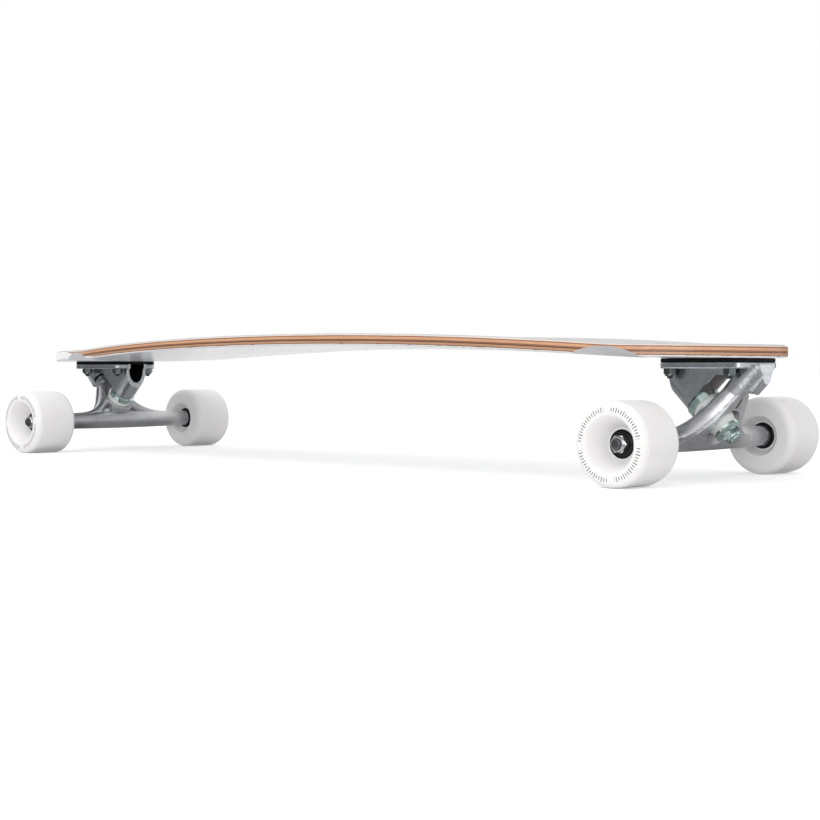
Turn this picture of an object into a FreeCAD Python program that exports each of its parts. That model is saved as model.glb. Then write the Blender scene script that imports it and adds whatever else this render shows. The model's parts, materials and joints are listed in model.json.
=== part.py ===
import FreeCAD, Part
import math
import os

# Longboard skateboard with two cast reverse-kingpin trucks. Millimetres, +Z up, +X to the nose.
# The ground is Z = 0 and the origin is under the middle of the deck.

# Deck
deck_length = 910.0
deck_width = 230.0
deck_thickness = 9.5
deck_edge_round = 2.0
widest_station = 60.0
nose_fullness = 3.3
nose_power = 0.5
tail_fullness = 3.5
tail_power = 0.667
concave_rise = 2.5
camber_rise = 10.3
camber_ease_radius = 400.0
nose_level = 81.0
tail_level = 139.0
nose_overhang = 65.0
tail_overhang = 99.0
grip_thickness = 0.8
grip_margin = 2.5
well_radius = 58.0
well_depth = 7.0
well_reach = 42.0
well_setback = 34.0

# Wheels and their bearings
wheel_radius = 32.5
wheel_width = 48.0
wheel_inner_overlap = 6.0
wheel_lip = 6.5
face_land = 3.6
cone_mouth_step = 1.2
hub_land = 1.5
inner_mouth_radius = 17.0
bearing_radius = 11.0
bearing_width = 7.0
bearing_bore = 4.0
bearing_land = 1.6
inner_ring_wall = 2.2
ball_radius = 1.95
ball_count = 7
shield_thickness = 0.5
shield_inset = 0.4
running_gap = 0.25
seat_gap = 0.02
spacer_length = 10.0
spacer_radius = 5.2
speed_ring_thickness = 0.8
speed_ring_radius = 5.6

# Shares of a lock nut and of its hexagon
nut_hexagon_share = 0.72
nut_collar_share = 0.86
nut_collar_round = 0.6
hexagon_bevel_share = 0.6

# Truck
truck_height = 61.0
axle_setback = 11.5
axle_radius = 3.97
axle_tip = 2.0
axle_nut_flats = 12.7
axle_nut_height = 6.4
hanger_width = 180.0
kingpin_angle = 45.0
axle_to_kingpin = 20.0
axle_rake = 7.5

plate_length = 78.0
plate_width = 56.0
plate_corner = 8.0
plate_round = 1.2
flange = 5.0
riser_thickness = 3.0
bolt_spacing_x = 53.98
bolt_spacing_y = 41.28
bolt_shift = -4.0
bolt_radius = 2.4
bolt_gap = 0.3
bolt_head_radius = 4.8
bolt_head_sink = 0.3
bolt_tip = 2.0
deck_nut_flats = 9.5
deck_nut_height = 6.0

leg_half = 13.0
leg_inset = 2.0
kingpin_radius = 4.76
kingpin_gap = 0.3
kingpin_flats = 14.3
kingpin_head = 6.0
kingpin_tip = 1.4
kingpin_nut_height = 6.2
boss_length = 14.0
boss_radius = 10.0
leg_wall = 3.0
slot_half = 9.2
web_thickness = 5.0
rib_drop = 5.0

ring_half = 5.5
ring_radius = 17.0
seat_radius = 14.0
seat_half = 3.5
ring_hole = 7.5
boardside_height = 12.0
boardside_radius = 13.2
boardside_end = 12.3
roadside_height = 14.5
roadside_radius = 12.0
roadside_straight = 5.0
roadside_end = 9.4
washer_thickness = 2.0
boardside_lip = 5.0
roadside_lip = 2.2
washer_wall = 1.4
washer_gap = 0.5

pivot_mouth = 36.0
pivot_housing = 12.5
housing_overhang = 5.0
housing_drop = 2.0
fin_half = 7.0
fin_reach = 16.0
fin_setback = 2.5
cup_radius = 8.9
cup_depth = 12.0
cup_lip = 1.0
nose_radius = 6.2
nose_straight = 4.0
nose_gap = 0.4
collar_radius = 9.2
collar_length = 5.0
collar_gap = 0.5

tube_end = 8.2
tube_belly = 9.2
tube_chamfer = 0.8
arm_foot = 30.0
arm_fillet = 45.0
arm_tip = 8.0
arm_half_height = 8.2
arm_half_width = 5.4
arm_end_height = 8.0
arm_root = 10.0
arm_root_inset = 0.6
skirt_slope = 10.0
skirt_height = 2.4
skirt_step = 0.8
web_height = 10.0
recess_flare = 4.0
pocket_inset = 9.5
pocket_depth = 5.0
slit_inset = 3.0
slit_width = 2.4
slit_length = 9.0
slit_depth = 3.0

X = FreeCAD.Vector(1, 0, 0)
Y = FreeCAD.Vector(0, 1, 0)
Z = FreeCAD.Vector(0, 0, 1)
ORIGIN = FreeCAD.Vector(0, 0, 0)
FAR = 400.0
SPARE = 10.0
HALF_TURN = math.sqrt(0.5)

# Places worked out from the sizes above
half_length = deck_length / 2
half_width = deck_width / 2
mount_height = wheel_radius + truck_height
deck_base = mount_height + riser_thickness
axle_stations = {"front": half_length - nose_overhang, "rear": tail_overhang - half_length}
camber_half_span = half_length - (nose_level + tail_level) / 2
camber_centre = (tail_level - nose_level) / 2
truck_turns = {"front": 0.0, "rear": 180.0}
wheel_sides = {"left": 0.0, "right": 180.0}
lean = math.radians(kingpin_angle)
along_x, along_z = math.sin(lean), math.cos(lean)
ring_x = -axle_setback + axle_to_kingpin * along_x - axle_rake * along_z
ring_z = -truck_height + axle_to_kingpin * along_z + axle_rake * along_x
boardside_seat = seat_half + boardside_height
leg_seat = boardside_seat + washer_thickness
head_seat = leg_seat + boss_length
roadside_seat = seat_half + roadside_height
nut_seat = roadside_seat + washer_thickness
hanger_end = hanger_width / 2
bearing_starts = (speed_ring_thickness, speed_ring_thickness + bearing_width + spacer_length)
stack_end = bearing_starts[1] + bearing_width
nut_start = stack_end + speed_ring_thickness
axle_end = hanger_end + nut_start + axle_nut_height + axle_tip
bearing_pitch = (bearing_bore + inner_ring_wall + bearing_radius - bearing_land) / 2


def moved(shape, placement):
    """A copy of a shape at a placement."""
    copy = shape.copy()
    copy.Placement = placement.multiply(copy.Placement)
    return copy


def turn_about(axis, degrees, at=ORIGIN):
    """A placement that turns about an axis through a point."""
    return FreeCAD.Placement(ORIGIN, FreeCAD.Rotation(axis, degrees), at)


def outline(start, *steps):
    """A closed wire in the XZ plane. A step is a point for a line, or two points for an arc."""
    edges = []
    here = FreeCAD.Vector(start[0], 0, start[1])
    first = here
    for step in steps:
        if isinstance(step[0], tuple):
            middle = FreeCAD.Vector(step[0][0], 0, step[0][1])
            there = FreeCAD.Vector(step[1][0], 0, step[1][1])
            edges.append(Part.Arc(here, middle, there).toShape())
        else:
            there = FreeCAD.Vector(step[0], 0, step[1])
            edges.append(Part.makeLine(here, there))
        here = there
    edges.append(Part.makeLine(here, first))
    return Part.Wire(edges)


def turned(start, *steps):
    """A solid turned about Z from a profile of (radius, height) points."""
    return Part.Face(outline(start, *steps)).revolve(ORIGIN, Z, 360)


def ring(inner, outer, low, high):
    """A plain ring about Z."""
    return turned((inner, low), (outer, low), (outer, high), (inner, high))


def block(x_span, y_span, z_span):
    """A box between two corners."""
    size = [span[1] - span[0] for span in (x_span, y_span, z_span)]
    corner = FreeCAD.Vector(x_span[0], y_span[0], z_span[0])
    return Part.makeBox(size[0], size[1], size[2], corner)


def is_upright(edge):
    return abs(edge.tangentAt(edge.FirstParameter).z) > 0.9


def rounded_slab(length, width, corner, low, high):
    """A flat plate with rounded corners, centred on Z."""
    slab = block((-length / 2, length / 2), (-width / 2, width / 2), (low, high))
    return slab.makeFillet(corner, [edge for edge in slab.Edges if is_upright(edge)])


def hexagon(flats, low, high):
    """A hexagonal bar about Z with both ends chamfered to its flats."""
    corner = flats / math.sqrt(3)
    points = [FreeCAD.Vector(corner * math.cos(a), corner * math.sin(a), low)
              for a in (math.radians(60 * step) for step in range(7))]
    bar = Part.Face(Part.makePolygon(points)).extrude(Z * (high - low))
    flat = flats / 2
    drop = (corner - flat) * hexagon_bevel_share
    cone = turned((0, low), (flat, low), (corner, low + drop), (corner, high - drop), (flat, high), (0, high))
    return bar.common(cone)


def lock_nut(flats, hole, low, height):
    """A hexagonal nut with a round collar that holds its locking ring."""
    body = hexagon(flats, low, low + height * nut_hexagon_share)
    wide = flats / 2 * nut_collar_share
    top = low + height
    collar = turned((0, low), (wide, low), (wide, top - nut_collar_round),
                    (wide - nut_collar_round, top), (0, top))
    return body.fuse(collar).cut(Part.makeCylinder(hole, FAR, Z * (low - SPARE)))


def corner_arc(before, corner, after, radius):
    """The arc that rounds a corner between two lines: its centre, and the angles where it starts and ends."""
    point = FreeCAD.Vector(*corner, 0)
    back = (FreeCAD.Vector(*before, 0) - point).normalize()
    ahead = (FreeCAD.Vector(*after, 0) - point).normalize()
    half = back.getAngle(ahead) / 2
    centre = point + (back + ahead).normalize() * (radius / math.sin(half))
    ends = [point + line * (radius / math.tan(half)) - centre for line in (back, ahead)]
    return centre, [math.atan2(end.y, end.x) % math.tau for end in ends]


def on_arc(centre, angle, radius):
    return centre.x + radius * math.cos(angle), centre.y + radius * math.sin(angle)


def nose_narrowing(share):
    """The share of the deck's width that is left at a share of the run to its nose."""
    return (1 - share ** nose_fullness) ** nose_power


def tail_narrowing(share):
    return (1 - share ** tail_fullness) ** tail_power


def plan_wire(margin):
    """The deck's outline from above: a blunt round nose and a drawn-out round tail."""
    reach = half_length - margin
    width = half_width - margin
    nose_run = reach - widest_station
    tail_run = reach + widest_station
    steps = 9
    nose = []
    tail = []
    for step in range(steps + 1):
        share = math.sin(math.pi / 2 * step / steps)
        nose.append((widest_station + nose_run * share, width * nose_narrowing(share)))
        tail.append((widest_station - tail_run * share, width * tail_narrowing(share)))
    half = nose[::-1] + tail[1:]
    points = [FreeCAD.Vector(x, y, 0) for x, y in half]
    points += [FreeCAD.Vector(x, -y, 0) for x, y in half[-2:0:-1]]
    curve = Part.BSplineCurve()
    curve.interpolate(points, PeriodicFlag=True)
    return Part.Wire([curve.toShape()])


def sprung_slab(low, high):
    """A wide slab that follows the deck: level ends, eased into the camber, hollow across."""
    width = half_width + SPARE
    edge = concave_rise * (width / half_width) ** 2
    lower = Part.Arc(FreeCAD.Vector(0, -width, low + edge), FreeCAD.Vector(0, 0, low),
                     FreeCAD.Vector(0, width, low + edge)).toShape()
    upper = Part.Arc(FreeCAD.Vector(0, width, high + edge), FreeCAD.Vector(0, 0, high),
                     FreeCAD.Vector(0, -width, high + edge)).toShape()
    left = Part.makeLine(FreeCAD.Vector(0, width, low + edge), FreeCAD.Vector(0, width, high + edge))
    right = Part.makeLine(FreeCAD.Vector(0, -width, high + edge), FreeCAD.Vector(0, -width, low + edge))
    section = Part.Face(Part.Wire([lower, left, upper, right]))
    camber_radius = camber_half_span ** 2 / (2 * camber_rise) + camber_rise / 2 - camber_ease_radius
    slope = math.degrees(math.asin(camber_half_span / (camber_radius + camber_ease_radius)))
    pieces = []
    for side in (1, -1):
        level = camber_centre + side * camber_half_span
        end = side * (half_length + SPARE)
        start = moved(section, FreeCAD.Placement(FreeCAD.Vector(level, 0, deck_base), FreeCAD.Rotation()))
        pieces.append(start.extrude(X * (end - level)))
        hub = FreeCAD.Vector(level, 0, deck_base + camber_ease_radius)
        pieces.append(start.revolve(hub, Y, side * slope))
    hub = FreeCAD.Vector(camber_centre, 0, deck_base + camber_rise - camber_radius)
    crown = FreeCAD.Placement(FreeCAD.Vector(camber_centre, 0, deck_base + camber_rise), FreeCAD.Rotation())
    start = moved(moved(section, crown), turn_about(Y, slope, hub))
    pieces.append(start.revolve(hub, Y, -2 * slope))
    return pieces[0].multiFuse(pieces[1:])


def bolt_places(truck):
    """The four bolt places of a truck on the deck, as seen from above."""
    side = 1 if truck == "front" else -1
    middle = axle_stations[truck] + side * (axle_setback + bolt_shift)
    return [FreeCAD.Vector(middle + dx * bolt_spacing_x / 2, dy * bolt_spacing_y / 2, 0)
            for dx in (-1, 1) for dy in (-1, 1)]


def deck():
    """The laminated board with its wheel wells and countersunk bolt holes."""
    prism = Part.Face(plan_wire(0)).extrude(Z * FAR)
    board = sprung_slab(0, deck_thickness).common(prism)
    rim = [face for face in board.Faces if face.Surface.TypeId == "Part::GeomSurfaceOfExtrusion"][0]
    board = board.makeFillet(deck_edge_round, [edge for edge in rim.Edges if not is_upright(edge)])
    bolt_hole = bolt_form(bolt_gap)
    mouth = Z * (bolt_hole.BoundBox.ZMax - seat_gap)
    bolt_hole = bolt_hole.fuse(Part.makeCylinder(bolt_head_radius + bolt_gap, FAR, mouth))
    for truck, station in axle_stations.items():
        side = 1 if truck == "front" else -1
        middle = station - side * well_setback
        share = (middle - widest_station) / (side * half_length - widest_station)
        narrowing = nose_narrowing(share) if truck == "front" else tail_narrowing(share)
        for hand in (1, -1):
            board = board.cut(wheel_well(middle, hand * half_width * narrowing))
        for place in bolt_places(truck):
            board = board.cut(moved(bolt_hole, FreeCAD.Placement(place, FreeCAD.Rotation())))
    return board


def wheel_well(station, rim):
    """A round-bottomed scoop that deepens towards the deck's rim, above a wheel."""
    hand = math.copysign(1, rim)
    rise = concave_rise * (rim / half_width) ** 2 + well_depth
    tilt = math.degrees(math.atan2(well_depth, well_reach))
    edge = FreeCAD.Vector(station, rim, deck_base + rise - well_radius)
    scoop = Part.makeCylinder(well_radius, 3 * well_reach, edge - Y * (hand * 2 * well_reach), Y * hand)
    return moved(scoop, turn_about(X, hand * tilt, edge))


def grip_sheet():
    """The thin grit sheet on the deck's top, with a hole over each bolt."""
    prism = Part.Face(plan_wire(grip_margin)).extrude(Z * FAR)
    sheet = sprung_slab(deck_thickness, deck_thickness + grip_thickness).common(prism)
    for truck in axle_stations:
        for place in bolt_places(truck):
            sheet = sheet.cut(Part.makeCylinder(bolt_head_radius + 2 * bolt_gap, FAR, place))
    return sheet


def bolt_form(gap):
    """A countersunk bolt along Z, grown by a gap to cut its own hole."""
    head = deck_base + deck_thickness - bolt_head_sink
    shank = bolt_radius + gap
    wide = bolt_head_radius + gap
    low = mount_height - flange - deck_nut_height - bolt_tip
    cone = wide - shank
    return turned((0, low), (shank, low), (shank, head - cone), (wide, head), (0, head))


def deck_bolts(truck):
    return [moved(bolt_form(0), FreeCAD.Placement(place, FreeCAD.Rotation())) for place in bolt_places(truck)]


def deck_nuts(truck):
    low = mount_height - flange
    nut = lock_nut(deck_nut_flats, bolt_radius + seat_gap, 0, deck_nut_height)
    nut = moved(nut, turn_about(X, 180))
    places = [place + Z * low for place in bolt_places(truck)]
    return [moved(nut, FreeCAD.Placement(place, FreeCAD.Rotation())) for place in places]


def stack_point(up, out):
    """A point of the truck's XZ plane, from its place along the pivot axis and the kingpin axis."""
    return ring_x + up * along_x - out * along_z, ring_z + up * along_z + out * along_x


stack = FreeCAD.Placement(FreeCAD.Vector(ring_x, 0, ring_z), FreeCAD.Rotation(Y, kingpin_angle - 90))
pivot_line = stack.multiply(turn_about(Y, 90))


def slab_across(half, *points):
    """A slab across the truck from a polygon in its XZ plane."""
    wire = outline(*points)
    return moved(Part.Face(wire).extrude(Y * (2 * half)), FreeCAD.Placement(Y * -half, FreeCAD.Rotation()))


def truck_bolt_holes(radius, low, high):
    half_x, half_y = bolt_spacing_x / 2, bolt_spacing_y / 2
    corners = [(dx * half_x, dy * half_y) for dx in (-1, 1) for dy in (-1, 1)]
    return [Part.makeCylinder(radius, high - low, FreeCAD.Vector(bolt_shift + x, y, low)) for x, y in corners]


def riser_pad():
    """The soft pad between the deck and the truck."""
    pad = rounded_slab(plate_length, plate_width, plate_corner, 0, riser_thickness)
    for hole in truck_bolt_holes(bolt_radius + bolt_gap, -1, riser_thickness + 1):
        pad = pad.cut(hole)
    return pad


def baseplate():
    """The cast plate with a hollow kingpin leg at its inner end and a pivot housing at its outer end."""
    plate = rounded_slab(plate_length, plate_width, plate_corner, -flange, 0)
    plate = plate.makeFillet(plate_round, [edge for edge in plate.Edges if not is_upright(edge)])
    inner = -plate_length / 2 + leg_inset
    foot = stack_point(0, leg_seat)
    shoulder_run = (-flange - ring_z - leg_seat * along_x) / along_z
    shoulder = stack_point(shoulder_run, leg_seat)
    axis_run = (ring_x - inner) / along_z
    leg = slab_across(leg_half, foot, shoulder, (inner, -flange), stack_point(0, axis_run))
    boss = Part.makeCylinder(leg_half, axis_run + leg_half - leg_seat, Z * leg_seat)
    leg = leg.fuse(moved(boss, stack))

    mouth = stack_point(pivot_mouth, 0)
    rise = (-flange - mouth[1]) / along_x
    run = (-flange - mouth[1]) / along_z
    root, heel = stack_point(pivot_mouth, rise), stack_point(pivot_mouth + run, 0)
    fill = slab_across(pivot_housing, mouth, root, heel)
    housing = Part.makeCylinder(pivot_housing, FAR, Z * pivot_mouth)
    fin_middle = fin_reach - fin_half
    fin_start = pivot_mouth + fin_setback
    fin = Part.makeCylinder(fin_half, FAR, FreeCAD.Vector(fin_middle, 0, fin_start))
    fin = fin.fuse(block((0, fin_middle), (-fin_half, fin_half), (fin_start, fin_start + FAR)))
    housing = fill.fuse(moved(housing.fuse(fin), pivot_line))
    housing = housing.common(block((-FAR, FAR), (-FAR, FAR), (-FAR, -housing_drop)))
    rib_start = stack_point(shoulder_run, leg_seat)[0] - leg_half
    rib_middle = leg_half - web_thickness / 2
    rib_span = (rib_start, mouth[0])
    ribs = [block(rib_span, (y - web_thickness / 2, y + web_thickness / 2), (-flange - rib_drop, -flange))
            for y in (rib_middle, -rib_middle)]

    body = plate.multiFuse([leg, housing] + ribs)
    outer = plate_length / 2 + housing_overhang
    body = body.common(block((inner - leg_inset, outer), (-plate_width, plate_width), (-truck_height, 0)))
    body = body.cut(block((inner - FAR, inner), (-leg_half - 1, leg_half + 1), (-truck_height, -flange)))

    slot = Part.makeCylinder(slot_half, FAR, Z * head_seat)
    slot = slot.fuse(block((0, FAR), (-slot_half, slot_half), (head_seat, head_seat + FAR)))
    pocket = block((boss_radius, FAR), (leg_wall - leg_half, leg_half - leg_wall),
                   (leg_seat - SPARE, head_seat - leg_wall))
    pocket = moved(pocket, stack).common(block((-FAR, FAR), (-FAR, FAR), (-FAR, -flange)))
    shank = Part.makeCylinder(kingpin_radius + kingpin_gap, FAR, Z * (leg_seat - 1))
    cup_bore = Part.makeCylinder(cup_radius + seat_gap, cup_depth + 1, Z * (pivot_mouth - 1))
    for cutter in (moved(slot, stack), pocket, moved(shank, stack), moved(cup_bore, pivot_line)):
        body = body.cut(cutter)
    for hole in truck_bolt_holes(bolt_radius + bolt_gap, -2 * flange, 1):
        body = body.cut(hole)
    return body


def pivot_cup():
    """The soft cup in the pivot housing, about the pivot axis."""
    hollow = nose_radius + nose_gap
    low = pivot_mouth - cup_lip
    ball = pivot_mouth + nose_straight
    high = pivot_mouth + cup_depth
    return turned((hollow, low), (cup_radius, low), (cup_radius, high), (0, high), (0, ball + hollow),
                  ((hollow * HALF_TURN, ball + hollow * HALF_TURN), (hollow, ball)))


def oval_section(x, y, z, heading, half_width_here, half_height):
    """An upright oval that a bar passes through, with the bar's heading in the XY plane."""
    oval = Part.Wire([Part.Ellipse(ORIGIN, half_height, half_width_here).toShape()])
    upright = moved(oval, turn_about(Y, 90))
    return moved(upright, FreeCAD.Placement(FreeCAD.Vector(x, y, z), FreeCAD.Rotation(Z, heading)))


def hanger():
    """The cast hanger: axle tube, two round braces over a skirt, the kingpin ring and the pivot nose."""
    axle_x, axle_z = -axle_to_kingpin, -axle_rake
    front = axle_x + tube_end
    collar_end = pivot_mouth - cup_lip - collar_gap
    collar_start = collar_end - collar_length
    tip = (collar_start, arm_tip)
    centre, (first, last) = corner_arc((front, hanger_end), (front, arm_foot), tip, arm_fillet)
    on_tube, bend, on_arm = [on_arc(centre, angle, arm_fillet) for angle in (first, (first + last) / 2, last)]
    half = [(axle_x, on_tube[1]), on_tube, (bend, on_arm), tip]
    mirrored = [(x, -y) for x, y in (tip, on_arm, bend, on_tube, (axle_x, on_tube[1]))]
    plan = outline(*half, mirrored[0], mirrored[1], (mirrored[2], mirrored[3]), mirrored[4])
    plan = Part.Face(moved(plan, turn_about(X, 90)))

    fall = math.tan(math.radians(skirt_slope))
    low_tip = -arm_end_height
    low_tube = low_tip - (collar_start - axle_x) * fall

    def layer(face, low, high):
        """A sloping layer of the casting, measured up from the skirt's lower face."""
        prism = moved(face.extrude(Z * FAR), FreeCAD.Placement(Z * (-FAR / 2), FreeCAD.Rotation()))
        return prism.common(slab_across(hanger_end, (axle_x, low_tube + low), (collar_start, low_tip + low),
                                        (collar_start, low_tip + high), (axle_x, low_tube + high)))

    skirt = layer(plan, 0, skirt_height)
    web = layer(plan.makeOffset2D(-arm_half_width), 0, web_height)

    sweep = arm_fillet + arm_half_width + skirt_step
    root = tube_end - arm_root_inset
    arm_line = []
    for angle in (first, (first + last) / 2, last):
        x, y = on_arc(centre, angle, sweep)
        arm_line.append((x, y, math.degrees(angle) + 90, arm_half_height))
    run = collar_start - x
    slope = math.tan(last + math.pi / 2)
    for share in (1 / 2, 1):
        height = arm_half_height + share * (arm_end_height - arm_half_height)
        arm_line.append((x + share * run, y + share * run * slope, math.degrees(last) + 90, height))
    bars = []
    for side in (1, -1):
        sections = [oval_section(axle_x, side * (on_tube[1] + arm_root), axle_z, side * 270, root, root)]
        for x, y, heading, half_height in arm_line:
            z = axle_z * (collar_start - x) / (collar_start - axle_x)
            sections.append(oval_section(x, side * y, z, side * heading, arm_half_width, half_height))
        bars.append(Part.makeLoft(sections, True))

    shoulder = hanger_end - tube_chamfer
    belly = turned((0, -hanger_end), (tube_end - tube_chamfer, -hanger_end), (tube_end, -shoulder),
                   ((tube_belly, 0), (tube_end, shoulder)),
                   (tube_end - tube_chamfer, hanger_end), (0, hanger_end))
    tube = moved(belly, FreeCAD.Placement(FreeCAD.Vector(axle_x, 0, axle_z), FreeCAD.Rotation(X, -90)))
    hub = Part.makeCylinder(ring_radius, 2 * ring_half, Z * -ring_half)
    ball = pivot_mouth + nose_straight
    curve = HALF_TURN * nose_radius
    nose = turned((0, seat_radius), (arm_end_height, seat_radius), (collar_radius, collar_start),
                  (collar_radius, collar_end), (nose_radius, collar_end), (nose_radius, ball),
                  ((curve, ball + curve), (0, ball + nose_radius)))
    body = tube.multiFuse([skirt, web] + bars + [hub, moved(nose, turn_about(Y, 90))])

    road_recess = Part.makeCone(seat_radius, seat_radius + recess_flare, ring_radius, Z * -seat_half, Z * -1)
    pocket = layer(plan.makeOffset2D(-pocket_inset), -SPARE, pocket_depth)
    pocket = pocket.common(block((front, 0), (-FAR, FAR), (-FAR, FAR)))
    pocket = pocket.cut(Part.makeCylinder(ring_radius, FAR, Z * -ring_half))
    slit_end = collar_start - slit_inset
    slit = block((slit_end - slit_length, slit_end), (-slit_width / 2, slit_width / 2),
                 (-FAR, low_tip + slit_depth))
    for cutter in (road_recess, pocket.cut(tube), slit, Part.makeCylinder(seat_radius, FAR, Z * seat_half)):
        body = body.cut(cutter)
    body = body.cut(Part.makeCylinder(ring_hole, FAR, Z * -FAR / 2))
    axle_bore = Part.makeCylinder(axle_radius + seat_gap, 2 * hanger_width,
                                  FreeCAD.Vector(axle_x, -hanger_width, axle_z), Y)
    return body.cut(axle_bore)


def kingpin():
    shank = Part.makeCylinder(kingpin_radius, head_seat + nut_seat + kingpin_nut_height + kingpin_tip,
                              Z * -(nut_seat + kingpin_nut_height + kingpin_tip))
    return shank.fuse(hexagon(kingpin_flats, head_seat, head_seat + kingpin_head))


def kingpin_nut():
    nut = lock_nut(kingpin_flats, kingpin_radius + seat_gap, 0, kingpin_nut_height)
    return moved(moved(nut, turn_about(X, 180)), FreeCAD.Placement(Z * -nut_seat, FreeCAD.Rotation()))


def boardside_bushing():
    """A barrel-shaped bushing between the leg and the ring."""
    hole = kingpin_radius + kingpin_gap
    shoulder = boardside_seat - boardside_lip - washer_gap
    middle = (seat_half + shoulder) / 2
    return turned((hole, seat_half), (boardside_end, seat_half),
                  ((boardside_radius, middle), (boardside_end, shoulder)), (boardside_end, boardside_seat),
                  (hole, boardside_seat))


def roadside_bushing():
    """A cone-shaped bushing between the ring and the nut's washer."""
    hole = kingpin_radius + kingpin_gap
    return turned((hole, -seat_half), (roadside_radius, -seat_half),
                  (roadside_radius, -seat_half - roadside_straight),
                  (roadside_end, roadside_lip + washer_gap - roadside_seat), (roadside_end, -roadside_seat),
                  (hole, -roadside_seat))


def cup_washer(seat, bushing_end, lip, facing):
    """A cupped washer whose lip stands round the end of its bushing."""
    hole = kingpin_radius + kingpin_gap
    wall = bushing_end + washer_gap
    low = seat - facing * lip
    high = seat + facing * washer_thickness
    rim = wall + washer_wall
    return turned((hole, seat), (wall, seat), (wall, low), (rim, low), (rim, seat),
                  (wall - washer_wall, high), (hole, high))


def axle():
    bevel = axle_tip / 2
    rod = turned((0, -axle_end), (axle_radius - bevel, -axle_end), (axle_radius, bevel - axle_end),
                 (axle_radius, axle_end - bevel), (axle_radius - bevel, axle_end), (0, axle_end))
    return moved(rod, turn_about(X, -90))


def tyre():
    """The poured wheel about Z, from its inner face outwards."""
    low = -wheel_inner_overlap
    high = low + wheel_width
    seat = bearing_radius + seat_gap
    hub = bearing_radius - bearing_land
    tread = wheel_radius - wheel_lip
    bend = wheel_lip * HALF_TURN
    mouth = tread - face_land
    first, second = bearing_starts
    return turned((hub, first + bearing_width), (seat, first + bearing_width), (seat, first),
                  (seat + hub_land, first), (inner_mouth_radius, low), (tread, low),
                  ((tread + bend, low + wheel_lip - bend), (wheel_radius, low + wheel_lip)),
                  (wheel_radius, high - wheel_lip),
                  ((tread + bend, high - wheel_lip + bend), (tread, high)),
                  (mouth, high), (mouth - cone_mouth_step, high - cone_mouth_step),
                  (seat + hub_land, stack_end), (seat, stack_end), (seat, second), (hub, second))


def bearing_outer_ring(start):
    groove = bearing_pitch + ball_radius + seat_gap
    land = bearing_radius - bearing_land
    middle = start + bearing_width / 2
    reach = math.sqrt((ball_radius + seat_gap) ** 2 - (land - bearing_pitch) ** 2)
    end = start + bearing_width
    return turned((land, start), (bearing_radius, start), (bearing_radius, end), (land, end),
                  (land, middle + reach), ((groove, middle), (land, middle - reach)))


def bearing_inner_ring(start):
    groove = bearing_pitch - ball_radius - running_gap / 2
    land = bearing_bore + inner_ring_wall
    middle = start + bearing_width / 2
    reach = math.sqrt((ball_radius + running_gap / 2) ** 2 - (bearing_pitch - land) ** 2)
    return turned((bearing_bore, start), (land, start), (land, middle - reach),
                  ((groove, middle), (land, middle + reach)),
                  (land, start + bearing_width), (bearing_bore, start + bearing_width))


def bearing_shields(start):
    inner = bearing_bore + inner_ring_wall + running_gap
    outer = bearing_radius - bearing_land - seat_gap
    faces = (start + shield_inset, start + bearing_width - shield_inset - shield_thickness)
    return [ring(inner, outer, face, face + shield_thickness) for face in faces]


def bearing_balls(start):
    middle = Z * (start + bearing_width / 2)
    ball = Part.makeSphere(ball_radius, middle + X * bearing_pitch)
    return [moved(ball, turn_about(Z, 360 * step / ball_count)) for step in range(ball_count)]


def save(name, *solids):
    shape = solids[0] if len(solids) == 1 else Part.makeCompound(list(solids))
    shape.exportStep("parts/" + name + ".step")


def both_bearings(make):
    pieces = []
    for start in bearing_starts:
        made = make(start)
        pieces += made if isinstance(made, list) else [made]
    return pieces


def save_truck(truck):
    side = 1 if truck == "front" else -1
    place = FreeCAD.Placement(FreeCAD.Vector(axle_stations[truck] + side * axle_setback, 0, mount_height),
                              FreeCAD.Rotation(Z, truck_turns[truck]))
    on_stack = place.multiply(stack)
    on_pivot = place.multiply(pivot_line)
    on_axle = FreeCAD.Placement(FreeCAD.Vector(axle_stations[truck], 0, wheel_radius), FreeCAD.Rotation())
    save(truck + "_riser_pad", moved(riser_pad(), place))
    save(truck + "_baseplate", moved(baseplate(), place))
    save(truck + "_pivot_cup", moved(pivot_cup(), on_pivot))
    save(truck + "_hanger", moved(hanger(), on_stack))
    save(truck + "_kingpin", moved(kingpin(), on_stack))
    save(truck + "_kingpin_nut", moved(kingpin_nut(), on_stack))
    save(truck + "_boardside_bushing", moved(boardside_bushing(), on_stack))
    save(truck + "_roadside_bushing", moved(roadside_bushing(), on_stack))
    boardside_cup = cup_washer(boardside_seat, boardside_end, boardside_lip, 1)
    roadside_cup = cup_washer(-roadside_seat, roadside_end, roadside_lip, -1)
    save(truck + "_boardside_washer", moved(boardside_cup, on_stack))
    save(truck + "_roadside_washer", moved(roadside_cup, on_stack))
    save(truck + "_deck_bolts", *deck_bolts(truck))
    save(truck + "_deck_nuts", *deck_nuts(truck))
    save(truck + "_axle", moved(axle(), on_axle))


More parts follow.
